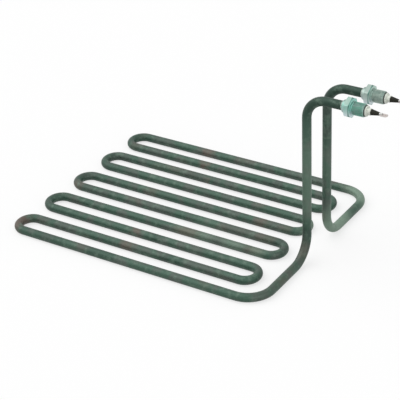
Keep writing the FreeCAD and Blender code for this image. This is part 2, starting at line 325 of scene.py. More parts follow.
@dataclass(frozen=True)
class OxidisedSteel(Finish):
    """Annealed stainless tube under a thin green-grey oxide, with brown and sooty stains, and painted
    shade towards its left end.
    """

    stains: Sequence[Spot]
    faded: Sequence[Spot]
    sooty: Sequence[Spot]
    green: Colour = (0.038, 0.088, 0.060)
    grey: Coat = Coat((0.062, 0.086, 0.070), (0.42, 0.62))
    dark: Coat = Coat((0.008, 0.036, 0.022), (0.137, 0.161), 0.85)
    pale: Coat = Coat((0.125, 0.190, 0.145), (0.48, 0.72), 0.5)
    # The soot colour serves the sooty spots and also the painted shade at the bed's left end.
    soot_and_painted_shade: Colour = (0.014, 0.042, 0.028)
    painted_shade_left_band: Band = (0.105, 0.170)
    painted_shade_left_share: float = 0.42
    brown: Colour = (0.110, 0.084, 0.068)
    chalk: Colour = (0.180, 0.265, 0.200)
    bed_height: Band = (0.010, 0.055)
    patch_level: Band = (0.58, 0.72)
    patch_share: float = 0.4
    patch_scale: float = 26.0
    tint_scale: float = 65.0
    cloud_scale: float = 160.0
    grain_scale: float = 2400.0
    grain_depth: float = 0.00003
    relief_share: float = 0.5
    metal: float = 0.35
    roughness: float = 0.36
    cloud_roughness: float = 0.16
    grain_roughness: float = 0.08
    ragged: float = 0.012
    spot_edge: Band = (0.6, 1.3)

    def material(self, name: str, centre: Vector) -> bpy.types.Material:
        """Oxide in clouds, dark on the ends, with brown, sooty and faded places, and painted shade that
        darkens the left end.

        Args:
            name: The material's name.
            centre: Centre of the pattern.

        Returns:
            The material.
        """
        pattern = Pattern(name, centre)
        x, _, z = pattern.axes()
        patch = pattern.noise(self.patch_scale, Detail.SOFT)
        tint = pattern.noise(self.tint_scale, Detail.SOFT)
        cloud = pattern.noise(self.cloud_scale, Detail.ROUGH)
        grain = pattern.noise(self.grain_scale)
        bed = 1.0 - z.rise(*self.bed_height)
        stained = patch.rise(*self.patch_level) * bed * self.patch_share
        oxide = pattern.coat(self.green, self.grey, tint)
        oxide = pattern.coat(oxide, self.dark, z)
        # Painted shade: near the bed's left end (-X) the oxide is mixed towards the soot colour to
        # stand in for shade there.
        painted_left_shade = (-1.0 * x).rise(*self.painted_shade_left_band) * self.painted_shade_left_share
        oxide = pattern.mix(self._spots(pattern, self.sooty, cloud).either(painted_left_shade), oxide, self.soot_and_painted_shade)
        oxide = pattern.mix(self._spots(pattern, self.faded, cloud), oxide, self.chalk)
        oxide = pattern.mix(self._spots(pattern, self.stains, cloud).either(stained), oxide, self.brown)
        oxide = pattern.coat(oxide, self.pale, cloud)
        return pattern.finish(
            Base_Color=oxide, Metallic=self.metal,
            Roughness=self.roughness + cloud * self.cloud_roughness + grain * self.grain_roughness,
            Normal=pattern.bump((cloud + grain) * self.relief_share, self.grain_depth))

    def _spots(self, pattern: Pattern, spots: Sequence[Spot], cloud: Value) -> Value:
        """Spread some ragged spots over the surface.

        Args:
            pattern: The material's graph.
            spots: The spots, at least one.
            cloud: Noise that makes their edges ragged.

        Returns:
            Each spot's strength inside it, and 0 away from all of them.
        """
        first, *others = [self._spot(pattern, spot, cloud) for spot in spots]
        for other in others:
            first = first.either(other)
        return first

    def _spot(self, pattern: Pattern, spot: Spot, cloud: Value) -> Value:
        """Spread one ragged spot over the surface.

        Args:
            pattern: The material's graph.
            spot: The spot.
            cloud: Noise that makes its edge ragged.

        Returns:
            The spot's strength inside it and 0 outside.
        """
        away = pattern.distance(spot.place) + cloud * self.ragged
        inner, outer = (spot.reach * edge for edge in self.spot_edge)
        return (1.0 - away.rise(inner, outer)) * spot.strength


@dataclass(frozen=True)
class PlatedSteel(Finish):
    """Turned steel under zinc plate with a blue-green film, dull on the thread, with painted shade on
    its top, a painted floor reflection below, painted light on the hexagon's end face, a painted dark
    line round its front edge, and grime with painted shade in the thread.
    """

    bright: Colour
    dull: Colour
    # Colour of the painted shade on the upper flats.
    painted_top_shade: Colour
    # The face colour is painted light for the hexagon's end face.
    face: Colour
    painted_light_share: float = 0.8
    painted_floor_reflection: Colour = (0.62, 0.68, 0.71)
    painted_reflection_share: float = 0.80
    # The edge colour is painted shade: a dark line round the hexagon's front edge, standing in for the
    # chamfer's shadow and dark reflection.
    edge: Colour = (0.080, 0.200, 0.165)
    painted_edge_shade_share: float = 0.85
    grime_and_painted_shade: Colour = (0.130, 0.180, 0.150)
    grime_and_shade_share: float = 0.6
    flats_end: float = 0.0090
    edge_width: float = 0.0009
    edge_radius: float = 0.0080
    thread_from: float = 0.0100
    root_radius: float = 0.00540
    crest_radius: float = 0.00600
    painted_reflection_band: Band = (-0.0055, 0.0030)
    painted_shade_top_band: Band = (0.0045, 0.0060)
    ease: float = 0.0004
    ring_spacing: float = 0.00012
    ring_depth: float = 0.000006
    smear_scale: float = 260.0
    smear_level: Band = (0.42, 0.60)
    smear_on_flats: float = 0.45
    roughness: float = 0.46
    smear_roughness: float = 0.16
    ring_roughness: float = 0.08

    def material(self, name: str, centre: Vector) -> bpy.types.Material:
        """Film over lathe rings: painted shade on top, painted floor reflection below, painted light on
        the end face, a painted dark line at the hexagon edge, grime and painted shade in the thread.

        Args:
            name: The material's name.
            centre: Centre of the pattern.

        Returns:
            The material.
        """
        pattern = Pattern(name, centre)
        x, y, z = pattern.axes()
        radius = (y * y + z * z).root()
        rings = pattern.rings(self.ring_spacing)
        smear = pattern.noise(self.smear_scale, Detail.BROKEN)
        threaded = x.rise(self.thread_from - self.ease, self.thread_from + self.ease)
        smeared = threaded * (1.0 - self.smear_on_flats) + self.smear_on_flats
        # Thread valleys: grime there, together with painted shade for the grooves' own shadow.
        valley_grime_and_shade = (1.0 - radius.rise(self.root_radius, self.crest_radius)) * threaded
        painted_reflection_mask = (1.0 - z.rise(*self.painted_reflection_band)) * (1.0 - threaded)
        faced = x.rise(self.flats_end - self.ease, self.flats_end)
        painted_top_shade_mask = z.rise(*self.painted_shade_top_band) * (1.0 - faced)
        front = self.flats_end - self.edge_width
        # Mask of the painted dark line at the hexagon's front edge.
        worn = (x.rise(front - self.ease, front)
                * radius.rise(self.edge_radius - self.ease, self.edge_radius)
                * (1.0 - faced))
        plate = pattern.mix(smear.rise(*self.smear_level) * smeared, self.bright, self.dull)
        # Painted shade: the upper flats of the collar and hexagon are darkened to stand in for shade on
        # top.
        plate = pattern.mix(painted_top_shade_mask * self.painted_light_share, plate, self.painted_top_shade)
        # Painted light: the hexagon's end face gets a lighter colour for the light it catches.
        plate = pattern.mix(faced * (1.0 - threaded) * self.painted_light_share, plate, self.face)
        # Painted reflection: the lower half of the collar and hexagon is lightened to a pale bluish
        # grey, standing in for the floor's reflection.
        plate = pattern.mix(painted_reflection_mask * self.painted_reflection_share, plate, self.painted_floor_reflection)
        # Painted shade: a dark line round the hexagon's front edge.
        plate = pattern.mix(worn * self.painted_edge_shade_share, plate, self.edge)
        # Grime and painted shade darken the thread's valleys.
        plate = pattern.mix(valley_grime_and_shade * self.grime_and_shade_share, plate, self.grime_and_painted_shade)
        return pattern.finish(
            Base_Color=plate, Metallic=1.0,
            Roughness=self.roughness + smear * self.smear_roughness + rings * self.ring_roughness,
            Normal=pattern.bump(rings, self.ring_depth))


@dataclass(frozen=True)
class Grained(Finish):
    """A surface with one grain, which carries its colour, its roughness and its relief."""

    hollows: Colour
    heights: Coat
    metal: float
    roughness: float
    grain_roughness: float
    grain_scale: float
    grain_depth: float
    detail: Detail

    def material(self, name: str, centre: Vector) -> bpy.types.Material:
        """One colour in the hollows of the grain and another on its heights.

        Args:
            name: The material's name.
            centre: Centre of the pattern.

        Returns:
            The material.
        """
        pattern = Pattern(name, centre)
        grain = pattern.noise(self.grain_scale, self.detail)
        return pattern.finish(
            Base_Color=pattern.coat(self.hollows, self.heights, grain), Metallic=self.metal,
            Roughness=self.roughness + grain * self.grain_roughness,
            Normal=pattern.bump(grain, self.grain_depth))


@dataclass(frozen=True)
class Silicone(Finish):
    """Dark moulded silicone, a little dusty."""

    rubber: Colour
    dust: Coat
    shine: float = 0.25
    roughness: float = 0.55
    dust_roughness: float = 0.2
    dust_scale: float = 700.0
    grain_scale: float = 3800.0
    grain_depth: float = 0.00002

    def material(self, name: str, centre: Vector) -> bpy.types.Material:
        """Matt dark rubber with faint dust.

        Args:
            name: The material's name.
            centre: Centre of the pattern.

        Returns:
            The material.
        """
        pattern = Pattern(name, centre)
        dust = pattern.noise(self.dust_scale, Detail.ROUGH)
        grain = pattern.noise(self.grain_scale, Detail.SOFT)
        return pattern.finish(
            Base_Color=pattern.coat(self.rubber, self.dust, dust), Metallic=0.0,
            Specular_IOR_Level=self.shine,
            Roughness=self.roughness + dust * self.dust_roughness,
            Normal=pattern.bump(grain, self.grain_depth))


@dataclass(frozen=True)
class Steatite(Finish):
    """Unglazed white ceramic with fine specks."""

    white: Colour = (0.74, 0.78, 0.70)
    shade: Coat = Coat((0.59, 0.62, 0.55), (0.40, 0.72), 0.7)
    speck: Colour = (0.36, 0.34, 0.29)
    speck_share: float = 0.6
    speck_size: Band = (0.10, 0.20)
    speck_scale: float = 1700.0
    cloud_scale: float = 380.0
    roughness: float = 0.42
    cloud_roughness: float = 0.2
    grain_scale: float = 5200.0
    grain_depth: float = 0.000015

    def material(self, name: str, centre: Vector) -> bpy.types.Material:
        """Cream clouds in the white, and a few small specks.

        Args:
            name: The material's name.
            centre: Centre of the pattern.

        Returns:
            The material.
        """
        pattern = Pattern(name, centre)
        cloud = pattern.noise(self.cloud_scale, Detail.BROKEN)
        grain = pattern.noise(self.grain_scale, Detail.SOFT)
        specks = 1.0 - pattern.pits(self.speck_scale).rise(*self.speck_size)
        body = pattern.coat(self.white, self.shade, cloud)
        body = pattern.mix(specks * self.speck_share, body, self.speck)
        return pattern.finish(
            Base_Color=body, Metallic=0.0,
            Roughness=self.roughness + cloud * self.cloud_roughness,
            Normal=pattern.bump(grain, self.grain_depth))


@dataclass(frozen=True)
class BrushedPlate(Finish):
    """Sheet or drawn metal with fine streaks along it."""

    bright: Colour
    dull: Colour
    roughness: float
    streak_roughness: float = 0.18
    streak_share: float = 0.4
    streak_width: float = 0.00014
    streak_stretch: float = 0.06
    streak_depth: float = 0.000005
    patch_scale: float = 500.0
    patch_level: Band = (0.40, 0.75)

    def material(self, name: str, centre: Vector) -> bpy.types.Material:
        """Streaks along X, and soft dull patches.

        Args:
            name: The material's name.
            centre: Centre of the pattern.

        Returns:
            The material.
        """
        pattern = Pattern(name, centre)
        streaks = pattern.streaks(self.streak_width, Vector((self.streak_stretch, 1.0, 1.0)))
        patch = pattern.noise(self.patch_scale).rise(*self.patch_level)
        worn = streaks * self.streak_share + patch * (1.0 - self.streak_share)
        return pattern.finish(
            Base_Color=pattern.mix(worn, self.bright, self.dull), Metallic=1.0,
            Roughness=self.roughness + streaks * self.streak_roughness,
            Normal=pattern.bump(streaks, self.streak_depth))


# Where the sheath's finish changes, in the frame's metres. The bed's centreline lies a radius up.
BED = TUBE_RADIUS
HEAT_STAINS = (
    Spot((-0.0846, 0.1077, BED), 0.013),
    Spot((-0.0743, 0.0835, BED), 0.012, 0.9),
    Spot((-0.0556, 0.0557, BED), 0.009),
    Spot((0.0355, 0.0128, BED), 0.014, 0.7),
    Spot((-0.0616, -0.0600, BED), 0.013),
    Spot((-0.0552, -0.0835, BED), 0.014),
    Spot((-0.1740, -0.1020, BED), 0.019, 0.95),
    Spot((-0.1660, -0.0120, BED), 0.012),
    Spot((0.0570, -0.0364, BED), 0.009, 0.5),
    Spot((-0.0200, -0.0364, BED), 0.020, 0.6),
)
FADED_PLACES = (
    Spot((0.1000, 0.0330, 0.0110), 0.034, 0.95),
    Spot((0.0960, 0.1040, BED), 0.026, 0.85),
    Spot((0.0570, -0.0364, BED), 0.014, 0.5),
    Spot((-0.0100, -0.0364, BED), 0.028, 0.35),
    Spot((0.0320, -0.0364, BED), 0.020, 0.35),
    Spot((0.1000, -0.0193, 0.0850), 0.046, 0.35),
)
SOOTY_PLACES = (
    Spot((0.1000, -0.0193, 0.0220), 0.026, 0.6),
    Spot((0.1000, 0.0193, 0.1240), 0.028, 0.5),
    Spot((-0.1300, -0.1094, BED), 0.026, 0.5),
    Spot((-0.0700, -0.1094, BED), 0.026, 0.45),
    Spot((-0.0050, -0.0850, BED), 0.020, 0.4),
    Spot((-0.0400, -0.0607, BED), 0.014, 0.5),
    Spot((0.0650, -0.0121, BED), 0.018, 0.45),
    Spot((-0.1250, -0.0121, BED), 0.018, 0.35),
    Spot((0.0750, 0.0364, BED), 0.014, 0.45),
    Spot((-0.0750, 0.0607, BED), 0.016, 0.35),
    Spot((0.0100, 0.0850, BED), 0.018, 0.35),
)
SHEATH_OXIDE = OxidisedSteel(HEAT_STAINS, FADED_PLACES, SOOTY_PLACES)
# In each plate the top colour is painted shade on the upper flats, and the face colour is painted light
# on the hexagon's end face.
FRONT_PLATE = PlatedSteel(bright=(0.32, 0.48, 0.44), dull=(0.25, 0.52, 0.43),
                          painted_top_shade=(0.270, 0.365, 0.322), face=(0.38, 0.70, 0.63))
REAR_PLATE = PlatedSteel(bright=(0.36, 0.46, 0.42), dull=(0.54, 0.63, 0.58),
                         painted_top_shade=(0.250, 0.306, 0.281), face=(0.49, 0.63, 0.57))
SEAL_RUBBER = Silicone(rubber=(0.050, 0.060, 0.053),
                       dust=Coat((0.110, 0.125, 0.115), (0.52, 0.80), 0.7))
BOOT_RUBBER = Silicone(rubber=(0.010, 0.011, 0.006),
                       dust=Coat((0.055, 0.055, 0.035), (0.52, 0.80), 0.7))
NICKEL_PLATE = BrushedPlate(bright=(0.62, 0.55, 0.52), dull=(0.40, 0.38, 0.37), roughness=0.34)
DRAWN_STEEL = BrushedPlate(bright=(0.50, 0.50, 0.49), dull=(0.34, 0.34, 0.33), roughness=0.32)
BRIGHT_WIRE = BrushedPlate(bright=(0.56, 0.55, 0.52), dull=(0.40, 0.39, 0.36), roughness=0.30)
WASHED_BRAZE = Grained(hollows=(0.32, 0.36, 0.33), heights=Coat((0.52, 0.57, 0.53), (0.40, 0.65)),
                       metal=1.0, roughness=0.34, grain_roughness=0.2,
                       grain_scale=1100.0, grain_depth=0.00003, detail=Detail.BROKEN)
WHITE_POWDER = Grained(hollows=(0.60, 0.59, 0.56), heights=Coat((0.78, 0.77, 0.73), (0.35, 0.65)),
                       metal=0.0, roughness=0.85, grain_roughness=0.1,
                       grain_scale=3000.0, grain_depth=0.00005, detail=Detail.ROUGH)


# Hand work in edit mode

TOUCHING = 1e-6
SAME_CORNER = 1e-5
ON_THE_CUT = 1e-7
SEED_SIZE = 0.001
ROUNDING_SEGMENTS = 5
TURNING_STEPS = 96


class Pick(Enum):
    """What a selection is made of: Blender's name of the elements and of their select mode."""

    VERTICES = ("verts", "VERT")
    EDGES = ("edges", "EDGE")


def hold(piece: bpy.types.Object) -> None:
    """Select a piece alone and make it the active one.

    Args:
        piece: The piece.
    """
    bpy.ops.object.select_all(action="DESELECT")
    piece.select_set(True)
    bpy.context.view_layer.objects.active = piece


def started(name: str, add: Callable[..., Any], **sizes: Any) -> bpy.types.Object:
    """Start a piece from a primitive, with nothing else selected.

    Args:
        name: Name of the new piece.
        add: Operator that adds the primitive.
        sizes: Its sizes and its place.

    Returns:
        The piece.
    """
    bpy.ops.object.select_all(action="DESELECT")
    add(**sizes)
    piece = bpy.context.active_object
    piece.name = name
    return piece


def settle(piece: bpy.types.Object) -> None:
    """Move a piece's place, turn and scale into its mesh."""
    hold(piece)
    bpy.ops.object.transform_apply(location=True, rotation=True, scale=True)


@contextmanager
def editing(piece: bpy.types.Object) -> Iterator[None]:
    """Open a piece in edit mode for work on its vertices, and close it again.

    Args:
        piece: The piece to work on.

    Yields:
        Nothing.
    """
    hold(piece)
    bpy.ops.object.mode_set(mode="EDIT")
    bpy.ops.mesh.select_mode(type="VERT")
    yield
    bpy.ops.object.mode_set(mode="OBJECT")


def select(piece: bpy.types.Object, what: Pick, wanted: Callable[[Any], bool]) -> None:
    """Select some elements of the piece that is open in edit mode, and no others.

    Args:
        piece: The piece.
        what: Kind of element.
        wanted: Says for one element whether it is selected.
    """
    elements, mode = what.value
    bpy.ops.mesh.select_mode(type=mode)
    bpy.ops.mesh.select_all(action="DESELECT")
    work = bmesh.from_edit_mesh(piece.data)
    for element in getattr(work, elements):
        element.select_set(wanted(element))
    work.select_flush_mode()
    bmesh.update_edit_mesh(piece.data)


def close_up() -> None:
    """Merge the seams and poles of the piece in edit mode and turn its faces outwards."""
    bpy.ops.mesh.select_all(action="SELECT")
    bpy.ops.mesh.remove_doubles(threshold=TOUCHING)
    bpy.ops.mesh.normals_make_consistent(inside=False)


def modify(piece: bpy.types.Object, kind: str, **settings: Any) -> None:
    """Put a modifier on a piece and apply it.

    Args:
        piece: The piece.
        kind: The modifier's type.
        settings: The modifier's properties.
    """
    hold(piece)
    modifier = piece.modifiers.new(kind.lower(), kind)
    for name, setting in settings.items():
        setattr(modifier, name, setting)
    bpy.ops.object.modifier_apply(modifier=modifier.name)


def combine(piece: bpy.types.Object, tool: bpy.types.Object, operation: str) -> None:
    """Join a tool to a piece, cut it away or keep what they share, and throw the tool away.

    Args:
        piece: The piece that stays.
        tool: The other solid.
        operation: UNION, DIFFERENCE or INTERSECT.
    """
    modify(piece, "BOOLEAN", operation=operation, solver="EXACT", object=tool)
    bpy.data.objects.remove(tool)
    with editing(piece):
        bpy.ops.mesh.select_all(action="SELECT")
        bpy.ops.mesh.dissolve_degenerate(threshold=TOUCHING)
        close_up()


def corner_of(point: Point) -> Vector:
    """Where a point of a half outline lies, measured from the start of the axis."""
    return Vector((point[0], 0.0, point[1]))


def turned(name: str, outline: Sequence[Point], centre: Vector,
           rounding: dict[int, float] | None = None, steps: int = TURNING_STEPS) -> bpy.types.Object:
    """Turn a half outline about an axis along X into a closed solid.

    Args:
        name: Name of the new piece.
        outline: Corners as distance along the axis and radius. An outline that starts and ends
            on the axis has no side along it.
        centre: Start of the axis.
        rounding: Radius of each rounded corner, by its number in the outline.
        steps: Sides of the turned piece.

    Returns:
        The piece.
    """
    here = outline[0]
    on_axis = outline[0][1] == 0.0 and outline[-1][1] == 0.0
    corners = [*outline[1:]] if on_axis else [*outline[1:], outline[0]]
    piece = started(name, bpy.ops.mesh.primitive_plane_add, size=SEED_SIZE,
                    location=centre + corner_of(here))
    settle(piece)
    with editing(piece):
        bpy.ops.mesh.select_all(action="SELECT")
        bpy.ops.mesh.merge(type="CENTER")
        for there in corners:
            bpy.ops.mesh.extrude_region_move(
                TRANSFORM_OT_translate={"value": corner_of(there) - corner_of(here)})
            here = there
        bpy.ops.mesh.select_all(action="SELECT")
        bpy.ops.mesh.remove_doubles(threshold=TOUCHING)
        for number, radius in (rounding or {}).items():
            corner = centre + corner_of(outline[number])
            select(piece, Pick.VERTICES, lambda vertex: (vertex.co - corner).length < SAME_CORNER)
            bpy.ops.mesh.bevel(offset=radius, segments=ROUNDING_SEGMENTS, affect="VERTICES")
        bpy.ops.mesh.select_all(action="SELECT")
        bpy.ops.mesh.spin(steps=steps, angle=math.tau, center=centre, axis=ALONG)
        close_up()
    return piece


# Pieces


@dataclass
class Piece(ABC):
    """A modelled piece that stands for one node of the frame."""

    node: str
    slot: str
    finish: Finish
    smooth_angle: float = math.radians(32.0)

    def start(self) -> Vector:
        """Find where the piece's sizes and its pattern are counted from.

        Returns:
            The piece's axis, at its low X end.
        """
        low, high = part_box(self.node)
        middle = (low + high) / 2
        return Vector((low.x, middle.y, middle.z))

    def extent(self) -> tuple[float, float]:
        """Length along X and largest radius of a turned piece."""
        low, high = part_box(self.node)
        return high.x - low.x, (high.z - low.z) / 2

    @abstractmethod
    def model(self) -> bpy.types.Object:
        """Model the piece in its place.

        Returns:
            The undressed piece.
        """

    def make(self) -> bpy.types.Object:
        """Model, dress and mount the piece.

        Returns:
            The finished piece.
        """
        piece = self.model()
        settle(piece)
        bpy.ops.object.shade_smooth_by_angle(angle=self.smooth_angle)
        piece.name = f"{self.node}_finished"
        piece.data.materials.clear()
        piece.data.materials.append(self.finish.material(f"{self.node}_{self.slot}", self.start()))
        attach(piece, "root")
        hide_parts(self.node)
        log.info("%s: %d faces", piece.name, len(piece.data.polygons))
        return piece


class TubeBender:
    """Forms a tube section by section, as a bending machine does: straight runs and round bends."""

    def __init__(self, name: str, radius: float, sides: int, start: Vector, heading: Vector) -> None:
        """Clamp the first section.

        Args:
            name: Name of the tube.
            radius: Outside radius.
            sides: Sides of the tube.
            start: Centre of the first section.
            heading: Direction of the first run, along or against X.
        """
        self.tube = started(name, bpy.ops.mesh.primitive_circle_add, vertices=sides,
                            radius=radius, location=start, rotation=LYING)
        settle(self.tube)
        self.here = start.copy()
        self.heading = heading.copy()

    def run(self, length: float) -> None:
        """Push the tube straight on.

        Args:
            length: Metres from the last section to the next.
        """
        step = self.heading * length
        bpy.ops.mesh.extrude_region_move(TRANSFORM_OT_translate={"value": step})
        self.here += step

    def run_to(self, place: float) -> None:
        """Push the tube straight on until its centre reaches a place on the axis it heads along."""
        ahead = max(range(3), key=lambda number: abs(self.heading[number]))
        self.run((place - self.here[ahead]) * self.heading[ahead])

    def bend(self, towards: Vector, radius: float, angle: float, steps: int) -> None:
        """Bend the tube round.

        Args:
            towards: Side that it bends to, square to its heading.
            radius: Radius of the bend's centreline.
            angle: Turn in radians.
            steps: Sections in the bend.
        """
        centre = self.here + towards * radius
        axle = self.heading.cross(towards)
        bpy.ops.mesh.spin(steps=steps, angle=-angle, center=centre, axis=axle)
        turn = Matrix.Rotation(angle, 3, axle)
        self.here = centre + turn @ (self.here - centre)
        self.heading = turn @ self.heading


@dataclass
class Sheath(Piece):
    """The bent tube: ten runs in a flat bed, two cross-runs, two risers and two level ends."""

    radius: float = TUBE_RADIUS
    wall: float = 0.0008
    run_count: int = 10
    run_pitch: float = 0.0243
    run_length: float = 0.2265
    cross_run_offset: float = 0.035
    bed_corner_radius: float = 0.024
    foot_radius: float = 0.024
    top_bend_radius: float = 0.0195
    riser_spacing: float = 0.0385
    rear_terminal_drop: float = 0.0045
    sides: int = 32
    degrees_per_section: float = 7.5

    def start(self) -> Vector:
        """The frame's own origin, from which the finish counts its places and heights."""
        return Vector((0.0, 0.0, 0.0))

    def _sections(self, angle: float) -> int:
        """Sections in a bend of so many radians."""
        return round(math.degrees(angle) / self.degrees_per_section)

    def _corner(self, bender: TubeBender, towards: Vector, radius: float) -> None:
        """Bend a right angle."""
        bender.bend(towards, radius, QUARTER_TURN, self._sections(QUARTER_TURN))

    def model(self) -> bpy.types.Object:
        """Bend the tube from the front end to the rear end, then give it its wall.

        Returns:
            The tube.
        """
        low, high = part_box(self.node)
        bed_z = low.z + self.radius
        front_z = high.z - self.radius
        left_bend = low.x + self.radius + self.run_pitch / 2
        right_bend = left_bend + self.run_length
        riser_x = right_bend + self.cross_run_offset
        riser_y = self.riser_spacing / 2
        edge_y = high.y - self.radius
        bender = TubeBender(self.node, self.radius, self.sides,
                            Vector((high.x, -riser_y, front_z)), -ALONG)
        with editing(bender.tube):
            bpy.ops.mesh.select_all(action="SELECT")
            bender.run_to(riser_x + self.top_bend_radius)
            self._corner(bender, -UP, self.top_bend_radius)
            bender.run_to(bed_z + self.foot_radius)
            self._corner(bender, -ACROSS, self.foot_radius)
            bender.run_to(self.bed_corner_radius - edge_y)
            self._corner(bender, -ALONG, self.bed_corner_radius)
            for run in range(self.run_count - 1):
                bender.run_to(right_bend if run % 2 else left_bend)
                bender.bend(ACROSS, self.run_pitch / 2, math.pi, self._sections(math.pi))
            bender.run_to(riser_x - self.bed_corner_radius)
            self._corner(bender, -ACROSS, self.bed_corner_radius)
            bender.run_to(riser_y + self.foot_radius)
            self._corner(bender, UP, self.foot_radius)
            bender.run_to(front_z - self.rear_terminal_drop - self.top_bend_radius)
            self._corner(bender, ALONG, self.top_bend_radius)
            bender.run_to(high.x)
            close_up()
        modify(bender.tube, "SOLIDIFY", thickness=self.wall, offset=-1.0)
        return bender.tube


@dataclass
class BrazeFillet(Piece):
    """Hollow fillet of braze between the tube and the gland's collar."""

    tube_radius: float = TUBE_RADIUS
    arc_points: int = 6

    def model(self) -> bpy.types.Object:
        """Turn the hollow fillet.

        Returns:
            The fillet.
        """
        leg, _ = self.extent()
        arc = [(leg * math.sin(part), self.tube_radius + leg * (1.0 - math.cos(part)))
               for part in (QUARTER_TURN * number / self.arc_points
                            for number in range(self.arc_points + 1))]
        return turned(self.node, [*arc, (leg, self.tube_radius)], self.start())


@dataclass
class Gland(Piece):
    """Threaded gland turned from hexagon bar: collar, hexagon, relief and thread, in one piece."""

    tube_radius: float = TUBE_RADIUS
    collar_radius: float = 0.0057
    collar_length: float = 0.0035
    collar_chamfer: float = 0.0005
    across_flats: float = 0.017
    flats_length: float = 0.0055
    face_share: float = 0.48
    corner_share: float = 0.60
    hexagon_turn: float = math.radians(30.0)
    hexagon_chamfer: float = math.radians(30.0)
    relief_radius: float = 0.0052
    relief_length: float = 0.0012
    undercut_depth: float = 0.0003
    seat_bore_radius: float = 0.0063
    thread_radius: float = 0.006
    thread_length: float = 0.0108
    thread_chamfer: float = 0.0008
    pitch: float = 0.001
    tooth_depth: float = 0.6134
    tooth_ends: Band = (0.125, 0.875)
    tooth_crest: Band = (0.4375, 0.5625)
    lead_in: float = 2.5
    spare_turns: int = 4
    overhang: float = 0.6
    blank_clearance: float = 0.00005
    bore_overlength: float = 1.2
    steps: int = 72

    def model(self) -> bpy.types.Object:
        """Turn the body, add the hexagon and the thread, and bore it for the tube.

        Returns:
            The gland.
        """
        gland = self._body()
        combine(gland, self._hexagon(), "UNION")
        combine(gland, self._thread(), "UNION")
        combine(gland, self._bore(), "DIFFERENCE")
        return gland

    def _body(self) -> bpy.types.Object:
        """Turn the collar, the relief and the core under the thread.

        Returns:
            The body, without its bore.
        """
        shoulder = self.collar_length + self.flats_length
        relief_end = shoulder + self.relief_length
        core = self.thread_radius - self.pitch
        collar = self.collar_radius
        outline = [
            (0.0, 0.0),
            (0.0, collar - self.collar_chamfer),
            (self.collar_chamfer, collar),
            (shoulder - self.flats_length / 2, collar),
            (shoulder - self.flats_length / 2, self.relief_radius),
            (relief_end + self.pitch, self.relief_radius),
            (relief_end + self.pitch, core),
            (relief_end + self.thread_length - self.pitch, core),
            (relief_end + self.thread_length - self.pitch, 0.0),
        ]
        return turned(f"{self.node}_body", outline, self.start(), steps=self.steps)

    def _hexagon(self) -> bpy.types.Object:
        """Cut the hexagon from bar, chamfer its corners and undercut its seat in the lathe.

        Returns:
            The hexagon, without its bore.
        """
        start = self.start() + ALONG * self.collar_length
        middle = start + ALONG * self.flats_length / 2
        hexagon = started(f"{self.node}_hexagon", bpy.ops.mesh.primitive_cylinder_add, vertices=6,
                          radius=self.across_flats / math.sqrt(3.0), depth=self.flats_length,
                          location=middle, rotation=LYING)
        settle(hexagon)
        with editing(hexagon):
            bpy.ops.mesh.select_all(action="SELECT")
            bpy.ops.transform.rotate(value=self.hexagon_turn, orient_axis="X",
                                     center_override=middle)
        face = self.across_flats * self.face_share
        beyond = self.across_flats * self.corner_share
        slope = (beyond - face) * math.tan(self.hexagon_chamfer)
        length = self.flats_length
        cone = turned(f"{self.node}_cone", [
            (0.0, 0.0), (0.0, face), (slope, beyond), (length - slope, beyond), (length, face),
            (length, self.seat_bore_radius), (length - self.undercut_depth, self.seat_bore_radius),
            (length - self.undercut_depth, 0.0),
        ], start)
        combine(hexagon, cone, "INTERSECT")
        return hexagon

    def _thread(self) -> bpy.types.Object:
        """Cut the thread with its run-out at the relief and its chamfer at the end.

        Returns:
            The thread, solid to its axis.
        """
        start = self.start() + ALONG * (self.collar_length + self.flats_length + self.relief_length)
        thread = self._screw(start)
        crest = self.thread_radius + self.blank_clearance
        run_out = self.thread_radius - self.relief_radius
        sunk = self.relief_radius - self.blank_clearance
        chamfer = self.thread_chamfer
        length = self.thread_length
        blank = turned(f"{self.node}_blank", [
            (0.0, 0.0), (0.0, sunk), (run_out / 2, crest),
            (length - chamfer, crest), (length, self.thread_radius - chamfer), (length, 0.0),
        ], start, steps=self.steps)
        combine(thread, blank, "INTERSECT")
        return thread

    def _screw(self, start: Vector) -> bpy.types.Object:
        """Sweep one tooth round and along the axis, and cut the ends square.

        Args:
            start: Where the thread starts on the axis.

        Returns:
            A closed screw, longer than the thread at both ends.
        """
        pitch = self.pitch
        crest = self.thread_radius
        root = crest - self.tooth_depth * pitch
        foot, heel = (share * pitch for share in self.tooth_ends)
        rise, fall = (share * pitch for share in self.tooth_crest)
        tooth = [(0.0, root), (foot, root), (rise, crest), (fall, crest), (heel, root), (pitch, root)]
        turns = math.ceil(self.thread_length / pitch) + self.spare_turns
        screw = started(f"{self.node}_thread", bpy.ops.mesh.primitive_plane_add, size=SEED_SIZE,
                        location=start - ALONG * self.lead_in * pitch)
        with editing(screw):
            bpy.ops.mesh.select_all(action="SELECT")
            bpy.ops.mesh.merge(type="CENTER")
            here = (0.0, 0.0)
            for there in tooth:
                step = corner_of(there) - corner_of(here)
                if there is tooth[0]:
                    bpy.ops.transform.translate(value=step)
                else:
                    bpy.ops.mesh.extrude_region_move(TRANSFORM_OT_translate={"value": step})
                here = there
        modify(screw, "SCREW", axis="X", screw_offset=pitch, iterations=turns, steps=self.steps,
               render_steps=self.steps, use_merge_vertices=True, merge_threshold=TOUCHING)
        settle(screw)
        before = start - ALONG * self.overhang * pitch
        behind = start + ALONG * (self.thread_length + self.overhang * pitch)
        with editing(screw):
            close_up()
            for place, side in ((before, -ALONG), (behind, ALONG)):
                bpy.ops.mesh.select_all(action="SELECT")
                bpy.ops.mesh.bisect(plane_co=place, plane_no=side, use_fill=True, clear_outer=True,
                                    threshold=ON_THE_CUT)
            close_up()
        return screw

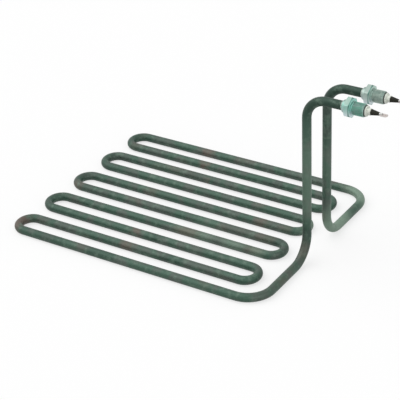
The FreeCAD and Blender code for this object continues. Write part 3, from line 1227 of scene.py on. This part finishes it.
    def _bore(self) -> bpy.types.Object:
        """Make the solid that cuts the bore.

        Returns:
            A cylinder, longer than the gland.
        """
        length, _ = self.extent()
        bore = started(f"{self.node}_bore", bpy.ops.mesh.primitive_cylinder_add,
                       vertices=self.steps, radius=self.tube_radius,
                       depth=length * self.bore_overlength,
                       location=self.start() + ALONG * length / 2, rotation=LYING)
        settle(bore)
        return bore


@dataclass
class EndSeal(Piece):
    """Silicone plug in the tube's mouth, with a disc over the gland's end."""

    pin_radius: float = PIN_RADIUS
    bore_radius: float = 0.00345
    tube_radius: float = TUBE_RADIUS
    plug_depth: float = 0.006
    recess: float = 0.001
    rim_rounding: float = 0.00022

    def model(self) -> bpy.types.Object:
        """Turn the seal with a soft rim.

        Returns:
            The seal.
        """
        length, disc = self.extent()
        mouth = self.plug_depth + self.recess
        outline = [
            (0.0, self.pin_radius), (0.0, self.bore_radius),
            (self.plug_depth, self.bore_radius), (self.plug_depth, self.tube_radius),
            (mouth, self.tube_radius), (mouth, disc), (length, disc), (length, self.pin_radius),
        ]
        return turned(self.node, outline, self.start(),
                      {5: self.rim_rounding, 6: self.rim_rounding})


@dataclass
class CeramicBushing(Piece):
    """Flanged ceramic bushing with soft pressed edges."""

    bore_radius: float = 0.00135
    nose_radius: float = 0.0031
    flange_length: float = 0.0013
    edge: float = 0.0004
    root: float = 0.0003

    def model(self) -> bpy.types.Object:
        """Turn the flange and the nose.

        Returns:
            The bushing.
        """
        length, flange = self.extent()
        outline = [
            (0.0, self.bore_radius), (0.0, flange), (self.flange_length, flange),
            (self.flange_length, self.nose_radius), (length, self.nose_radius),
            (length, self.bore_radius),
        ]
        rounding = {1: self.edge, 2: self.edge, 3: self.root, 4: self.edge}
        return turned(self.node, outline, self.start(), rounding)


@dataclass
class PinBoot(Piece):
    """Tapered boot on the pin, with a soft lip at each end."""

    pin_radius: float = PIN_RADIUS
    tip_radius: float = 0.0015
    root_lip: float = 0.0003
    tip_lip: float = 0.00012

    def model(self) -> bpy.types.Object:
        """Turn the tapered boot.

        Returns:
            The boot.
        """
        length, root = self.extent()
        outline = [(0.0, self.pin_radius), (0.0, root), (length, self.tip_radius),
                   (length, self.pin_radius)]
        return turned(self.node, outline, self.start(), {1: self.root_lip, 2: self.tip_lip})


@dataclass
class SpadeTab(Piece):
    """Stamped spade tab with cut corners, its hole and the two spot welds at its root."""

    corner: float = 0.001
    upright: float = 0.9
    hole_radius: float = 0.0008
    hole_inset: float = 0.0028
    hole_sides: int = 32
    punch_length: float = 0.0032
    edge: float = 0.00014
    edge_angle: float = math.radians(35.0)
    edge_segments: int = 2
    weld_radius: float = 0.00055
    weld_depth: float = 0.00012
    weld_places: tuple[float, float] = (0.0008, 0.0018)
    tip_segments: int = 24
    tip_rings: int = 16

    def model(self) -> bpy.types.Object:
        """Cut the blank, punch the hole, ease the edges and press the welds.

        Returns:
            The tab.
        """
        low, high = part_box(self.node)
        middle = (low + high) / 2
        tab = started(self.node, bpy.ops.mesh.primitive_cube_add, size=1.0, location=middle,
                      scale=high - low)
        settle(tab)
        with editing(tab):
            select(tab, Pick.EDGES, self._is_corner)
            bpy.ops.mesh.bevel(offset=self.corner, segments=1, affect="EDGES")
        combine(tab, self._punch(Vector((high.x - self.hole_inset, middle.y, middle.z))),
                "DIFFERENCE")
        modify(tab, "BEVEL", width=self.edge, segments=self.edge_segments, limit_method="ANGLE",
               angle_limit=self.edge_angle)
        for reach in self.weld_places:
            dent = Vector((low.x + reach, middle.y, low.z + self.weld_depth - self.weld_radius))
            combine(tab, self._electrode(dent), "DIFFERENCE")
        return tab

    def _is_corner(self, edge: bmesh.types.BMEdge) -> bool:
        """Whether an edge runs through the thickness of the tab."""
        first, second = edge.verts
        return abs((first.co - second.co).normalized().dot(UP)) > self.upright

    def _punch(self, place: Vector) -> bpy.types.Object:
        """Make the round punch for the hole.

        Args:
            place: Middle of the hole.

        Returns:
            A cylinder, longer than the tab is thick.
        """
        return started(f"{self.node}_punch", bpy.ops.mesh.primitive_cylinder_add,
                       vertices=self.hole_sides, radius=self.hole_radius,
                       depth=self.punch_length, location=place)

    def _electrode(self, place: Vector) -> bpy.types.Object:
        """Make the tip that leaves the dent of a spot weld.

        Args:
            place: Centre of the tip.

        Returns:
            A ball.
        """
        return started(f"{self.node}_electrode", bpy.ops.mesh.primitive_uv_sphere_add,
                       segments=self.tip_segments, ring_count=self.tip_rings,
                       radius=self.weld_radius, location=place)


class End(Enum):
    """The two ends of the element."""

    FRONT = "front"
    REAR = "rear"


@dataclass
class Terminal:
    """Everything on one end of the tube."""

    end: End
    plate: PlatedSteel

    def _node(self, piece: str) -> str:
        """Name of this end's node for a piece."""
        return f"{self.end.value}_{piece}"

    def make(self) -> None:
        """Make the pieces in the order that they go on."""
        BrazeFillet(self._node("braze_fillet"), "braze", WASHED_BRAZE).make()
        Gland(self._node("gland"), "bright_gland", self.plate).make()
        EndSeal(self._node("end_seal"), "dark_seal", SEAL_RUBBER).make()
        CeramicBushing(self._node("ceramic_bushing"), "white_ceramic", Steatite()).make()
        PinBoot(self._node("pin_boot"), "black_boot", BOOT_RUBBER).make()
        SpadeTab(self._node("spade_tab"), "tab_plate", NICKEL_PLATE).make()
        dress(self._node("terminal_pin"), DRAWN_STEEL)


def dress(node: str, finish: Finish) -> None:
    """Give a node of the frame that stays its own finish.

    Args:
        node: The node's name.
        finish: Its finish.
    """
    low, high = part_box(node)
    material = finish.material(f"{node}_finish", (low + high) / 2)
    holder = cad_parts[node]
    for slot in holder.material_slots:
        slot.material = material
    log.info("%s: stays, with its own finish", node)


# The studio and the camera


@dataclass(frozen=True)
class Lamp:
    """A far lamp that looks at the middle of the bed: its place, and its breadth and strength there."""

    name: str
    place: Vector
    breadth: float
    strength: float

    def hang(self) -> None:
        """Add the lamp to the scene."""
        bpy.ops.object.light_add(type="SUN", location=self.place)
        lamp = bpy.context.active_object
        lamp.name = self.name
        lamp.data.angle = self.breadth
        lamp.data.energy = self.strength
        lamp.rotation_mode = "QUATERNION"
        lamp.rotation_quaternion = (-self.place).to_track_quat("-Z", "Y")


@dataclass
class Studio:
    """Pale floor, white surroundings and soft lamps."""

    floor_size: float = 6.0
    floor_seen: Colour = (0.97, 0.97, 0.97)
    floor_lighting: Colour = (0.28, 0.28, 0.28)
    floor_glow: float = 0.68
    ambient: float = 0.54
    key: Lamp = Lamp("key_lamp", Vector((-0.70, -0.35, 1.20)), math.radians(70.0), 1.48)
    fill: Lamp = Lamp("fill_lamp", Vector((1.00, -0.60, 0.25)), math.radians(60.0), 1.06)

    def make(self) -> None:
        """Set up the floor, the world and the lamps."""
        self._floor()
        self._world()
        self.key.hang()
        self.fill.hang()
        log.info("studio: floor, world and lamps")

    def _floor(self) -> None:
        """Pale floor that takes the object's shadow and glows a little, like a lit table."""
        floor = started("floor", bpy.ops.mesh.primitive_plane_add, size=self.floor_size)
        material = bpy.data.materials.new("floor")
        material.use_nodes = True
        graph = Graph(material.node_tree)
        seen = graph.seen()
        colour = graph.mix(seen, self.floor_lighting, self.floor_seen)
        matt = graph.add("ShaderNodeBsdfDiffuse", {}, {"Color": colour})
        glow = graph.add("ShaderNodeEmission", {}, {"Color": WHITE})
        surface = graph.add("ShaderNodeMixShader", {},
                            {0: seen * self.floor_glow, 1: matt, 2: glow})
        graph.node("ShaderNodeOutputMaterial", {}, {"Surface": surface})
        floor.data.materials.append(material)

    def _world(self) -> None:
        """White surroundings, softer for the light that they give than for the eye."""
        world = bpy.data.worlds.new("surroundings")
        world.use_nodes = True
        bpy.context.scene.world = world
        graph = Graph(world.node_tree)
        strength = graph.seen() * (1.0 - self.ambient) + self.ambient
        sky = graph.add("ShaderNodeBackground", {}, {"Color": WHITE, "Strength": strength})
        graph.node("ShaderNodeOutputWorld", {}, {"Surface": sky})


@dataclass
class PhotoCamera:
    """The camera that took the photograph, found from the tube's outline in it."""

    place: Vector = Vector((0.654869, -1.044186, 0.733549))
    right: Vector = Vector((0.847877, 0.528857, -0.037619))
    up: Vector = Vector((-0.235542, 0.439292, 0.866916))
    lens: float = 133.153
    nearest: float = 0.05

    def make(self) -> None:
        """Set the camera up and make it the scene's own."""
        bpy.ops.object.camera_add(location=self.place)
        camera = bpy.context.active_object
        camera.name = "photo_camera"
        back = self.right.cross(self.up)
        camera.rotation_mode = "QUATERNION"
        camera.rotation_quaternion = Matrix((self.right, self.up, back)).transposed().to_quaternion()
        camera.data.lens = self.lens
        camera.data.clip_start = self.nearest
        bpy.context.scene.camera = camera
        log.info("camera: %.3f mm lens", self.lens)


def main() -> None:
    """Build the element in order and report each piece."""
    logging.basicConfig(level=logging.INFO, format="%(name)s %(message)s")
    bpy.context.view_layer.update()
    bpy.context.scene.view_settings.view_transform = "Standard"
    Sheath("sheath_tube", "oxidised_sheath", SHEATH_OXIDE).make()
    dress("resistance_coil", BRIGHT_WIRE)
    dress("insulation_filling", WHITE_POWDER)
    Terminal(End.FRONT, FRONT_PLATE).make()
    Terminal(End.REAR, REAR_PLATE).make()
    Studio().make()
    PhotoCamera().make()


if __name__ == "__main__":
    main()
